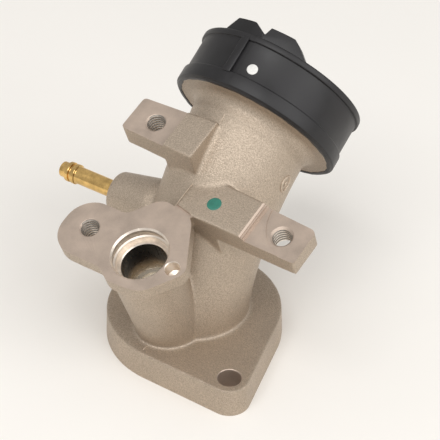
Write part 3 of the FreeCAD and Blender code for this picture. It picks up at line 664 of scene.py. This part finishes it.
def tinted(colour, factor):
    """Colour made darker or lighter by a factor."""
    return tuple(min(1.0, c * factor) for c in colour)


class Nodes:
    """Short hand for a material's node tree."""

    def __init__(self, name):
        self.material = bpy.data.materials.new(name)
        self.material.use_nodes = True
        self.tree = self.material.node_tree
        self.shader = self.tree.nodes["Principled BSDF"]
        self.coords = self.add("TexCoord").outputs["Object"]

    def add(self, kind, **values):
        """New node with values on its input sockets, each socket named with underscores."""
        node = self.tree.nodes.new("ShaderNode" + kind)
        for name, value in values.items():
            node.inputs[name.replace("_", " ")].default_value = value
        return node

    def link(self, source, target):
        self.tree.links.new(source, target)

    def noise(self, scale, detail, roughness=0.6):
        """Noise in the object's own coordinates."""
        node = self.add("TexNoise", Scale=scale, Detail=detail, Roughness=roughness)
        self.link(self.coords, node.inputs["Vector"])
        return node.outputs["Fac"]

    def ramp(self, source, *stops):
        """Colour ramp through (place, colour) stops."""
        node = self.add("ValToRGB")
        ramp = node.color_ramp
        while len(ramp.elements) < len(stops):
            ramp.elements.new(0.5)
        for element, (place, colour) in zip(ramp.elements, stops):
            element.position = place
            element.color = (*colour, 1.0)
        self.link(source, node.inputs["Fac"])
        return node.outputs["Color"]

    def tones(self, source, base, dark, light, low=0.3, high=0.7):
        """Base colour tinted from dark to light as the source goes from low to high."""
        return self.ramp(source, (low, tinted(base, dark)), (high, tinted(base, light)))

    def spread(self, source, to_low, to_high, low=0.3, high=0.7):
        """Value from to_low to to_high as the source goes from low to high."""
        node = self.add("MapRange", From_Min=low, From_Max=high, To_Min=to_low, To_Max=to_high)
        self.link(source, node.inputs["Value"])
        return node.outputs["Result"]

    def bump(self, height, strength, distance, under=None):
        """Relief of a height, on top of another relief if one is given."""
        node = self.add("Bump", Strength=strength, Distance=distance)
        self.link(height, node.inputs["Height"])
        if under is not None:
            self.link(under, node.inputs["Normal"])
        return node.outputs["Normal"]

    def mixed(self, share, first, second):
        """Mix of two colours; each value is a socket, a number or a colour."""
        node = self.add("Mix")
        node.data_type = "RGBA"
        for socket, value in ((node.inputs[0], share), (node.inputs[6], first), (node.inputs[7], second)):
            if hasattr(value, "is_output"):
                self.link(value, socket)
            elif isinstance(value, float):
                socket.default_value = value
            else:
                socket.default_value = (*value, 1.0)
        return node.outputs[2]

    def dressed(self, colour, roughness, relief, metallic=0.0):
        """The material, once its colour, roughness, relief and metal share are on the shader."""
        self.link(colour, self.shader.inputs["Base Color"])
        self.link(roughness, self.shader.inputs["Roughness"])
        self.link(relief, self.shader.inputs["Normal"])
        self.shader.inputs["Metallic"].default_value = metallic
        return self.material


def cast_metal(name, tint=1.0):
    """As-cast aluminium: speckled grain, soft patches and a warm tone."""
    base = tinted(colours().cast, tint)
    n = Nodes(name)
    grain = n.noise(3000.0, 2.5)
    pits = n.noise(5200.0, 2.0, 0.5)
    patches = n.noise(70.0, 4.0)
    speckle = n.ramp(grain, (0.34, tinted(base, 0.8)), (0.5, base), (0.68, tinted(base, 1.28)))
    toned = n.mixed(n.spread(patches, 0.0, 0.4, low=0.35), speckle, tinted(base, 0.78))
    relief = n.bump(grain, 0.7, 0.0002, under=n.bump(pits, 0.4, 0.00006))
    return n.dressed(toned, n.spread(grain, 0.58, 0.36), relief, metallic=0.72)


def machined_metal(name):
    """Milled aluminium: finer, smoother and with faint cutter marks."""
    base = colours().machined
    n = Nodes(name)
    wave = n.add("TexWave", Scale=260.0, Distortion=0.6)
    wave.wave_type = "RINGS"
    wave.rings_direction = "Z"
    n.link(n.coords, wave.inputs["Vector"])
    cloud = n.noise(130.0, 4.0)
    fine = n.noise(3800.0, 2.0)
    toned = n.mixed(n.spread(fine, 0.0, 0.3, low=0.4), n.tones(cloud, base, 0.84, 1.12), tinted(base, 1.2))
    relief = n.bump(fine, 0.14, 0.00004, under=n.bump(wave.outputs["Fac"], 0.12, 0.00003))
    return n.dressed(toned, n.spread(cloud, 0.4, 0.52), relief, metallic=0.7)


def bright_metal(name, tint, roughness):
    """Freshly cut aluminium in threads and bores, made lighter or darker by a tint: the lighter copy is
    partly painted highlight, the darker copy is painted shade.
    """
    n = Nodes(name)
    cloud = n.noise(500.0, 3.0)
    toned = n.tones(cloud, tinted(colours().fresh_cut, tint), 0.85, 1.1)
    relief = n.bump(n.noise(2800.0, 2.0), 0.15, 0.00003)
    return n.dressed(toned, n.spread(cloud, roughness, roughness + 0.1), relief, metallic=0.9)


def bore_painted_light_and_shade(name, place, low, high):
    """Bored wall by depth along its axis: painted light by the seat, painted shade (near black) above it,
    pale at the mouth.
    """
    n = Nodes(name)
    along = place.col[2].to_3d()
    depth = n.add("VectorMath")
    depth.operation = "DOT_PRODUCT"
    depth.inputs[1].default_value = along
    n.link(n.coords, depth.inputs[0])
    foot = place.translation.dot(along)
    share = n.spread(depth.outputs["Value"], 0.0, 1.0, low=(foot + low) * MM, high=(foot + high) * MM)
    cloud = n.noise(260.0, 3.0)
    # Painted light and shade: the near-white and brown stops paint light on the seat and the wall above it,
    # the near-black stops paint shade over the middle of the wall.
    toned = n.ramp(
        n.mixed(0.12, share, cloud),
        (0.16, (0.95, 0.87, 0.74)),
        (0.34, (0.6, 0.46, 0.31)),
        (0.48, (0.06, 0.045, 0.035)),
        (0.6, (0.008, 0.008, 0.009)),
        (0.84, (0.008, 0.008, 0.01)),
        (0.95, (0.5, 0.44, 0.37)),
    )
    relief = n.bump(n.noise(2400.0, 2.0), 0.12, 0.00003)
    return n.dressed(toned, n.spread(cloud, 0.2, 0.34), relief, metallic=0.35)


def brass(name):
    """Turned brass with darker clouds."""
    n = Nodes(name)
    cloud = n.noise(420.0, 4.0)
    toned = n.tones(cloud, colours().brass, 0.7, 1.15)
    relief = n.bump(n.noise(2600.0, 2.0, 0.5), 0.15, 0.00003)
    return n.dressed(toned, n.spread(cloud, 0.14, 0.26), relief, metallic=1.0)


def black_rubber(name):
    """Moulded rubber with a greyer bloom."""
    n = Nodes(name)
    bloom = n.noise(120.0, 5.0, 0.62)
    toned = n.tones(bloom, colours().rubber, 0.75, 1.9, low=0.35, high=0.75)
    relief = n.bump(n.noise(3000.0, 3.0), 0.15, 0.00005)
    return n.dressed(toned, n.spread(bloom, 0.36, 0.52, high=0.75), relief)


def paint(name, base):
    """Thick paint, a little uneven."""
    n = Nodes(name)
    cloud = n.noise(700.0, 3.0)
    relief = n.bump(n.noise(2300.0, 3.0), 0.4, 0.0001)
    return n.dressed(n.tones(cloud, base, 0.82, 1.12), n.spread(cloud, 0.35, 0.55), relief)


def floor_paper(name):
    """Pale, dull table top."""
    n = Nodes(name)
    toned = n.tones(n.noise(9.0, 3.0, 0.5), colours().floor, 0.985, 1.01)
    n.link(toned, n.shader.inputs["Base Color"])
    n.shader.inputs["Roughness"].default_value = 0.8
    n.shader.inputs["Specular IOR Level"].default_value = 0.1
    return n.material


# Casting


def base_flange():
    """Two-ear flange: arcs about the port and both bolt holes, joined by tangent sides."""
    lean = math.acos((BASE_MID - BASE_EAR) / BOLT_REACH)
    outline = []
    for heading in (BOLT_TURN, BOLT_TURN + math.pi):
        outline += arc(ray(heading) * BOLT_REACH, BASE_EAR, heading - lean, 2 * lean, 24)
        outline += arc(Vector((0, 0)), BASE_MID, heading + lean, math.pi - 2 * lean, 48)
    return prism(outline, -1.0, mm(sizes().base_thickness), BASE_DRAFT)


def round_flange():
    """Flange at the tube's end, with the small fillet under it."""
    disc = mm(sizes().disc_radius)
    tube = TUBE_RADII[-1]
    section = rounded((
        (0, -6.0, 0), (tube, -6.0, 0), (tube, FLANGE_UNDER, FLANGE_FILLET),
        (disc, FLANGE_UNDER, 0.25), (disc, FLANGE_TOP, 0), (0, FLANGE_TOP, 0),
    ))
    return moved(lathe(section), joint_place())


def injector_forms():
    """Boss of the injector's bore, its flange, and the boss of the flange's screw."""
    place = injector_place()
    flange = prism(rounded(INJECTOR_CORNERS), -INJECTOR_THICK, STOCK)
    screw = moved(rod(SCREW_BOSS_RADIUS, -SCREW_DEPTH, 0), beside(place, *SCREW_PLACE))
    return [moved(lathe(INJECTOR_BOSS), place), moved(flange, place), screw]


def lug_forms():
    """Both lugs, the cast pad of the lower one and the blocks that carry them on the tube."""
    upper = mm(sizes().upper_face)
    lower = mm(sizes().lower_face)
    forms = (
        (UPPER_LUG, upper - UPPER_THICK, upper + STOCK),
        (UPPER_BLOCK, upper - UPPER_DEPTH, upper + UPPER_SKIN),
        (LOWER_LUG, lower - LOWER_THICK, lower + STOCK),
        (LOWER_PAD, lower - LOWER_THICK, lower + LOWER_SKIN),
        (LOWER_BLOCK, lower - LOWER_DEPTH, lower + LOWER_SKIN),
    )
    return [moved(prism(rounded(corners), low, high), die_place()) for corners, low, high in forms]


def raw_casting():
    """All outer forms of the casting, solid and with stock on the faces that are milled."""
    tube = pipe(TUBE_RADII, 2.0, 2.5)
    nipple_boss = moved(lathe(NIPPLE_BOSS), nipple_place())
    return joined(base_flange(), tube, round_flange(), *injector_forms(), nipple_boss, *lug_forms())


def lower_step():
    """Stock over the lower lug's face, with the torn edge that it leaves on the cast pad."""
    face = mm(sizes().lower_face)
    edge, end = LOWER_STEP
    section = (
        (end, 0), (45.0, 0), (45.0, CUT_TOP), (edge - 3.0, CUT_TOP), (edge - 0.5, LOWER_SKIN),
        (edge, 1.05), (edge + 0.25, 1.2), (edge + 0.55, 0.6), (edge + 0.8, 0.75), (end - 0.05, 0.15),
    )
    return ringed([(x, up, face + lift) for up in (30.0, 2.0) for x, lift in section], len(section))


def face_cutters():
    """Stock to be milled off the base, the injector flange and both lugs."""
    upper = mm(sizes().upper_face)
    lower = mm(sizes().lower_face)
    flange = prism(outset(rounded(INJECTOR_CORNERS), 0.8), 0.0, CUT_TOP)
    shapes = (
        block((-50, -50, -5), (50, 50, 0)),
        moved(flange, injector_place()),
        moved(block((-30, 15, upper), (UPPER_STEP, 40, upper + CUT_TOP)), die_place()),
        moved(lower_step(), die_place()),
        moved(rod(SPOT_RADIUS, -SPOT_DEPTH, 4.0), die_place(lower, *SPOT_PLACE)),
    )
    return [(shape, "milled") for shape in shapes]


def threaded_hole(place, depth, sink):
    """Tapped hole: helical grooves, the drilled bore that leaves their crests, and a countersink."""
    lip = 0.8
    drill = rod(THREAD_CREST, -depth - 1.2, 1.0, 72)
    cone = lathe(((0, -SINK_DROP), (sink - SINK_RUN, -SINK_DROP), (sink, 0), (sink + lip, lip), (0, lip)))
    # The grooves take the darker copy of the cut metal, painted shade; the crests take the lighter one,
    # partly painted highlight.
    return [
        (moved(screw_rod(-depth - 1.0, 1.0), place), "groove"),
        (moved(drill, place), "crest"),
        (moved(cone, place), "milled"),
    ]


def hole_cutters():
    """Bores, threads, locating hole, bolt holes, nipple seat, ring groove and port, with their finishes."""
    s = sizes()
    thick = mm(s.base_thickness)
    stem = mm(s.nipple_stem)
    injector = injector_place()
    bolt = lathe((
        (0, -1.0), (BOLT_HOLE_RADIUS, -1.0), (BOLT_HOLE_RADIUS, thick - 0.2),
        (BOLT_MOUTH_RADIUS, thick + 0.1), (BOLT_MOUTH_RADIUS, 12.0), (0, 12.0),
    ), 96)
    bolt_offset = ray(BOLT_TURN).to_3d() * BOLT_REACH
    nipple_seat = lathe((
        (0, -28.0), (NIPPLE_BORE, -28.0), (NIPPLE_BORE, -NIPPLE_DEPTH),
        (stem, -NIPPLE_DEPTH), (stem, 1.0), (0, 1.0),
    ), 64)
    inner_radii = [rad - mm(s.tube_wall) for rad in TUBE_RADII]
    return [
        # The injector's bore and its seat take painted light and painted shade by depth.
        (moved(lathe(BORE, 192), injector), "bore"),
        (moved(lathe(BORE_SEAT, 192), injector), "bore"),
        (moved(lathe(BORE_MOUTH, 192), injector), "crest"),
        (moved(lathe(DOWEL_HOLE, 64), beside(injector, *DOWEL_PLACE)), "crest"),
        *threaded_hole(beside(injector, *SCREW_PLACE), SCREW_DEPTH, SCREW_SINK),
        *threaded_hole(die_place(mm(s.upper_face), *UPPER_HOLE), UPPER_THICK, UPPER_SINK),
        *threaded_hole(die_place(mm(s.lower_face), *LOWER_HOLE), LOWER_THICK, LOWER_SINK),
        (moved(bolt, Matrix.Translation(bolt_offset)), "milled"),
        (moved(bolt, Matrix.Translation(-bolt_offset)), "milled"),
        (moved(nipple_seat, nipple_place()), "milled"),
        (lathe(RING_GROOVE, 192, closed=True), "milled"),
        # The port takes a darker copy of the cast metal: painted shade inside the tube.
        (pipe(inner_radii, 8.0, 6.0), "port"),
    ]


class MakeCasting(bpy.types.Operator):
    """Cast body: union of the raw forms, cast fillets, then milled faces, bores and threads"""

    bl_idname = "intake_pipe.casting"
    bl_label = "Casting"

    def execute(self, context):
        finishes = {
            "cast": cast_metal("cast_aluminium"),
            "milled": machined_metal("machined_aluminium"),
            # Crests, the bore's mouth and the locating hole: a lighter copy of the cut metal, partly its own
            # brightness and partly painted highlight.
            "crest": bright_metal("crest_metal_painted_highlight", 1.25, 0.3),
            # Thread grooves: a darker copy of the same cut metal, painted shade in the valleys.
            "groove": bright_metal("groove_metal_painted_shade", 0.42, 0.4),
            # Injector bore: painted light on its seat and painted shade up its wall.
            "bore": bore_painted_light_and_shade("bore_metal_painted_light_and_shade", injector_place(), BORE_FOOT, BORE_HIGH),
            # Inside of the tube: a darker copy of the cast metal, painted shade.
            "port": cast_metal("cast_port_painted_shade", 0.7),
        }
        body = mesh_object("casting", raw_casting(), finishes["cast"])
        remesh(body, sizes().voxel, finishes["cast"])
        relax(body, even=3, fill=14)
        for number, (shape, finish) in enumerate(face_cutters() + hole_cutters()):
            combine(body, mesh_object(f"cutter_{number}", shape, finishes[finish]), "DIFFERENCE")
        finish_piece(body, "cast_aluminium", "pipe_casting")
        return {"FINISHED"}


# Rubber joint


def joint_section():
    """Section of the joint: rim groove, foot, lower lip, band seat, upper lip, beaded bore and ledge."""
    mouth = mm(sizes().joint_mouth)
    disc = mm(sizes().disc_radius)
    rim = disc - 0.5
    return rounded((
        (JOINT_LEDGE, JOINT_RIM_TOP, 0), (rim, JOINT_RIM_TOP, 0), (rim, -0.5, 0), (disc - 0.75, -0.62, 0),
        (disc - 0.7, -0.85, 0.1), (disc + 0.3, -0.82, 0.2), (disc + 0.75, JOINT_LIP_LOW, 0.2),
        (JOINT_LIP, JOINT_LIP_LOW, 0.45), (JOINT_LIP, JOINT_SEAT_LOW, 0.4),
        (JOINT_SEAT, JOINT_SEAT_LOW, 0.2), (JOINT_SEAT, JOINT_SEAT_HIGH, 0.2),
        (JOINT_TOP_LIP, JOINT_SEAT_HIGH, 0.35), (JOINT_TOP_LIP, JOINT_TOP, 0.5),
        (mouth + JOINT_CHAMFER, JOINT_TOP, 0.3), (mouth, JOINT_TOP - JOINT_CHAMFER, 0.3),
        (mouth, JOINT_BEAD + 1.0, 0.3), (mouth - 0.5, JOINT_BEAD, 0.4), (mouth, JOINT_BEAD - 1.0, 0.3),
        (mouth, JOINT_LEDGE_TOP, 0.3), (JOINT_LEDGE, JOINT_LEDGE_TOP, 0.3),
    ), 0.15)


def joint_ring(columns=400):
    """Ring of the joint: its outside stands prouder past the seam, its foot laps unevenly over the flange."""
    profile = joint_section()
    turns = [SEAM_TURN + 2 * math.pi * (k + 0.5) / columns for k in range(columns - 1)]
    turns = [SEAM_TURN + SEAM_GAP, *turns, SEAM_TURN + 2 * math.pi - SEAM_GAP]
    verts = []
    for turn in turns:
        past = min(1.0, (turn - SEAM_TURN) / SEAM_FADE)
        rise = SEAM_RISE * (1 - past * past * (3 - 2 * past))
        wave = math.sin(5 * turn) + math.sin(13 * turn + 1.0) + 0.8 * math.sin(31 * turn + 2.0)
        for rad, height in reversed(profile):
            if rad > JOINT_SEAT - 0.2:
                rad += rise
            elif height < -0.5:
                rad += FOOT_WAVE * wave
            verts.append((rad * math.cos(turn), rad * math.sin(turn), height))
    return ringed(verts, len(profile), closed=True)


def tab_shape(corners):
    """Index tab: a side view (across, height) carried between two radii at the joint's top."""
    outline = divided([Vector(corner) for corner in corners], 0.6)
    verts = [(p.x, -math.sqrt(rad * rad - p.x * p.x), p.y) for rad in TAB_RADII for p in outline]
    return ringed(verts, len(outline))


class MakeJoint(bpy.types.Operator):
    """Moulded rubber joint with lips, band seat, rib, seam and two index tabs"""

    bl_idname = "intake_pipe.joint"
    bl_label = "Rubber joint"

    def execute(self, context):
        place = joint_place()
        rubber = black_rubber("black_rubber")
        ring = mesh_object("rubber_joint", moved(joint_ring(), place), rubber)
        for shape in (*map(tab_shape, TABS), prism(RIB, *RIB_HEIGHTS)):
            proud = mesh_object("proud_form", moved(shape, place), rubber)
            bevelled(proud, RUBBER_EDGE)
            combine(ring, proud, "UNION")
        finish_piece(ring, "black_rubber", "throttle_joint", sharp_degrees=35.0)
        return {"FINISHED"}


# Nipple and O-ring


def nipple_section():
    """Section of the nipple: stem, collar on the boss, two beads and a rounded tip."""
    stem = mm(sizes().nipple_stem)
    return rounded((
        (NIPPLE_BORE, -NIPPLE_DEPTH, 0), (stem, -NIPPLE_DEPTH, 0), (stem, 0.0, 0),
        (NIPPLE_COLLAR, 0.0, 0.1), (NIPPLE_COLLAR, 0.9, 0.15), (stem, 0.9, 0), (stem, 14.8, 0.3),
        (NIPPLE_BEAD, 14.8, 0.25), (NIPPLE_BEAD, 16.3, 0.35), (NIPPLE_WAIST, 16.3, 0.2),
        (NIPPLE_WAIST, 17.0, 0.2), (NIPPLE_BEAD, 17.0, 0.3), (NIPPLE_BEAD, 18.5, 0.45),
        (NIPPLE_WAIST, 18.5, 0.3), (2.45, 20.8, 0.4), (NIPPLE_BORE, 20.8, 0.15),
    ), 0.08)


class MakeNipple(bpy.types.Operator):
    """Turned brass hose nipple with a collar and two beads, and the O-ring of the base"""

    bl_idname = "intake_pipe.nipple"
    bl_label = "Nipple and O-ring"

    def execute(self, context):
        turned = moved(lathe(nipple_section(), 96, closed=True), nipple_place())
        nipple = mesh_object("hose_nipple", turned, brass("turned_brass"))
        finish_piece(nipple, "nipple_brass", "vacuum_nipple", sharp_degrees=40.0)
        section = [(RING_RADIUS + RING_CORD * c, RING_CORD + RING_CORD * s) for c, s in spokes(24)]
        ring = mesh_object("o_ring", lathe(section, 160, closed=True), black_rubber("ring_rubber"))
        finish_piece(ring, "ring_rubber", "base_o_ring", sharp_degrees=60.0)
        return {"FINISHED"}


# Marks


def flash_lines():
    """Fine lines of flash on the mould's parting plane and on the base flange."""
    sunk = -0.02
    top = math.radians(-90)
    die = die_place()
    pad = mm(sizes().lower_face) + LOWER_SKIN - 0.04
    base = mm(sizes().base_thickness)
    return [
        wire([tube_point(0.875 + 0.0095 * k, top, sunk) for k in range(11)], 0.2),
        wire([tube_point(0.2 + 0.035 * k, -top, sunk) for k in range(20)], 0.2),
        wire([die @ Vector((-0.05, 9.4 + 0.8 * k, pad)) for k in range(16)], 0.15),
        wire([Vector((0.26 - 0.021 * k, -24.79 + 0.292 * k, base)) for k in range(11)], 0.28),
    ]


def raised_mark():
    """Small raised oval with a bar on the tube's side, left bare."""
    centre = tube_point(OVAL_SHARE, OVAL_TURN, 0.02)
    along = bend_point(sizes().bend_angle * OVAL_SHARE)[1]
    other = along.cross(ACROSS)
    curve = 2 * blend(TUBE_RADII, OVAL_SHARE)
    oval = [
        centre + along * (OVAL_LONG * c) + other * (OVAL_WIDE * s) - ACROSS * ((OVAL_WIDE * s) ** 2 / curve)
        for c, s in spokes(36)
    ]
    bar = [centre + along * (0.35 * k - 1.05) for k in range(7)]
    return [wire(oval, 0.33, closed=True), wire(bar, 0.36)]


def paint_dot(rad):
    """Low crowned drop of paint, its foot a little under the surface."""
    thick = 0.12
    return lathe((
        (0, -0.2), (rad, -0.2), (rad, 0.0), (rad * 0.93, thick * 0.7), (rad * 0.7, thick), (0, thick),
    ), 48)


class MakeMarks(bpy.types.Operator):
    """Two paint dots, the lines of flash and the small raised oval on the tube's side"""

    bl_idname = "intake_pipe.marks"
    bl_label = "Marks"

    def execute(self, context):
        pad = mm(sizes().lower_face) + LOWER_SKIN
        out = ray(WHITE_TURN).to_3d()
        seat = joint_place() @ placed(out * WHITE_REACH + UP * WHITE_HEIGHT, UP, out)
        green = moved(paint_dot(GREEN_RADIUS), die_place(pad, *GREEN_PLACE))
        white = moved(paint_dot(WHITE_RADIUS), seat)
        lines = joined(*flash_lines(), *raised_mark())
        for name, shape, material, slot in (
            ("green_dot", green, paint("green_paint", colours().green_paint), "cast_aluminium"),
            ("white_dot", white, paint("white_paint", colours().white_paint), "black_rubber"),
            # Flash lines and the raised oval: a lighter copy of the cast metal, painted highlight on their
            # ridges.
            ("flash_lines", lines, cast_metal("flash_metal_painted_highlight", 1.15), "cast_aluminium"),
        ):
            finish_piece(mesh_object(name, shape, material), slot, sharp_degrees=60.0)
        return {"FINISHED"}


# Stage


def add_lamp(name, place, size, power):
    """Square soft lamp that faces the part."""
    light = bpy.data.lights.new(name, "AREA")
    light.size = size
    light.energy = power
    lamp = bpy.data.objects.new(name, light)
    lamp.location = place
    lamp.rotation_euler = (LAMP_TARGET - Vector(place)).to_track_quat("-Z", "Y").to_euler()
    bpy.context.scene.collection.objects.link(lamp)


def add_camera():
    """Camera at the photograph's angle, distance and lens."""
    data = bpy.data.cameras.new("camera")
    data.sensor_width = SENSOR_WIDTH
    data.lens = SENSOR_WIDTH * FOCAL_PIXELS / PICTURE_PIXELS
    camera = bpy.data.objects.new("camera", data)
    bpy.context.scene.collection.objects.link(camera)
    right = ray(CAMERA_AZIMUTH).to_3d()
    level_back = right.cross(UP)
    back = level_back * math.cos(CAMERA_ELEVATION) + UP * math.sin(CAMERA_ELEVATION)
    up = back.cross(right)
    right_rolled = right * math.cos(CAMERA_ROLL) + up * math.sin(CAMERA_ROLL)
    camera.matrix_world = placed(CAMERA_TARGET + back * CAMERA_DISTANCE, right_rolled, back)
    bpy.context.scene.camera = camera


class MakeStage(bpy.types.Operator):
    """Pale floor, soft light and the camera"""

    bl_idname = "intake_pipe.stage"
    bl_label = "Stage"

    def execute(self, context):
        scene = context.scene
        floor = mesh_object("floor", block((-4000, -4000, -10), (4000, 4000, 0)), floor_paper("floor_paper"))
        world = bpy.data.worlds.new("soft_room")
        world.use_nodes = True
        room = world.node_tree.nodes["Background"].inputs
        room["Color"].default_value = ROOM_COLOUR
        room["Strength"].default_value = ROOM_STRENGTH
        scene.world = world
        for lamp in LAMPS:
            add_lamp(*lamp)
        add_camera()
        scene.view_settings.view_transform = "Standard"
        return {"FINISHED"}


class IntakePipePanel(bpy.types.Panel):
    """Sizes, colours and a button for each group of pieces"""

    bl_idname = "VIEW3D_PT_intake_pipe"
    bl_label = "Intake pipe"
    bl_space_type = "VIEW_3D"
    bl_region_type = "UI"
    bl_category = "Intake pipe"

    def draw(self, context):
        layout = self.layout
        for group in (context.scene.intake_pipe_sizes, context.scene.intake_pipe_colours):
            box = layout.box()
            for name in group.__annotations__:
                box.prop(group, name)
        for operator in OPERATORS:
            layout.operator(operator.bl_idname)


OPERATORS = (MakeCasting, MakeJoint, MakeNipple, MakeMarks, MakeStage)
CLASSES = (IntakePipeSizes, IntakePipeColours, *OPERATORS, IntakePipePanel)


def register():
    for item in CLASSES:
        bpy.utils.register_class(item)
    bpy.types.Scene.intake_pipe_sizes = PointerProperty(type=IntakePipeSizes)
    bpy.types.Scene.intake_pipe_colours = PointerProperty(type=IntakePipeColours)


def unregister():
    del bpy.types.Scene.intake_pipe_colours
    del bpy.types.Scene.intake_pipe_sizes
    for item in reversed(CLASSES):
        bpy.utils.unregister_class(item)


def main():
    register()
    bpy.ops.intake_pipe.casting()
    bpy.ops.intake_pipe.joint()
    bpy.ops.intake_pipe.nipple()
    bpy.ops.intake_pipe.marks()
    bpy.ops.intake_pipe.stage()


if __name__ == "__main__":
    main()
